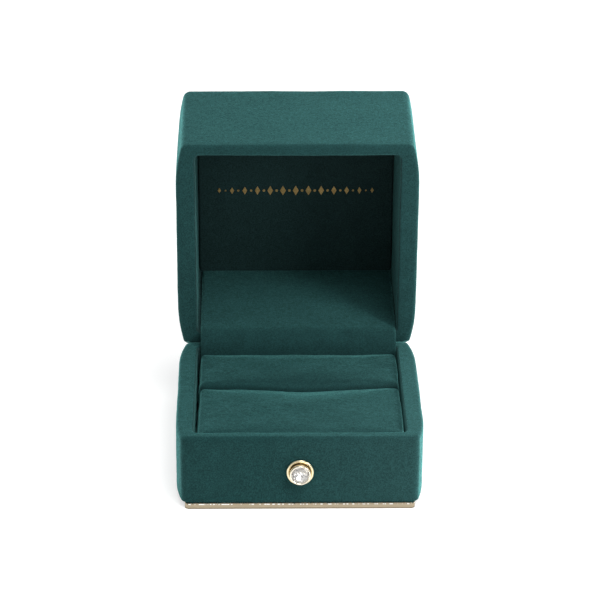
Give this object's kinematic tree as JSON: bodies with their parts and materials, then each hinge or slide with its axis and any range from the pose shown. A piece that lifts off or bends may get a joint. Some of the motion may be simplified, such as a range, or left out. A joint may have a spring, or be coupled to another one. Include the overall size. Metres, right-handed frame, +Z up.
{
  "type": "ring box",
  "caption": "Small square velvet-covered ring box standing open on a gilt base plate, with a slotted ring pad, a crystal stud and a spring-hinged lid.",
  "frame": {"origin": "centre of the underside of the metal base plate", "axes": "+Z up, -Y towards the front face with the stud, hinge along X at the rear; lid stored open"},
  "size_m": [0.0642, 0.0992, 0.0829],
  "materials": {
    "velvet": "short-pile dark green velvet",
    "pad_velvet": "short-pile dark green velvet over foam",
    "moulded_shell": "as moulded, black",
    "greyboard": "plain pressed board",
    "foam": "open-cell foam",
    "gilt_plate": "brushed pale gilt",
    "gilt_stud": "polished gilt",
    "crystal": "cut and polished, foiled behind",
    "hinge_steel": "bright rolled strip",
    "gold_foil": "hot-stamped foil"
  },
  "bodies": {
    "base": {"base_plate": "gilt_plate", "base_core": "moulded_shell", "base_velvet": "velvet", "pad_board": "greyboard", "pad_front_foam": "foam", "pad_front_cover": "pad_velvet", "pad_rear_foam": "foam", "pad_rear_cover": "pad_velvet", "stud_flange": "gilt_stud", "stud_bezel": "gilt_stud", "stud_crystal": "crystal", "stud_washer": "hinge_steel", "hinge_base_leaf": "hinge_steel", "hinge_pin": "hinge_steel", "hinge_spring": "hinge_steel", "base_hinge_rivets": "hinge_steel", "flap_base": "velvet"},
    "lid": {"lid_core": "moulded_shell", "lid_velvet": "velvet", "lid_roof_card": "greyboard", "lid_roof_velvet": "velvet", "foil_mark": "gold_foil", "hinge_lid_leaf": "hinge_steel", "lid_hinge_rivets": "hinge_steel", "flap_lid": "velvet"}
  },
  "joints": [
    {"name": "lid_hinge", "type": "hinge", "parent": "base", "child": "lid", "pos_m": [0, 0.0291, 0.0202], "axis": [1, 0, 0], "range_deg": [0, 84]}
  ]
}
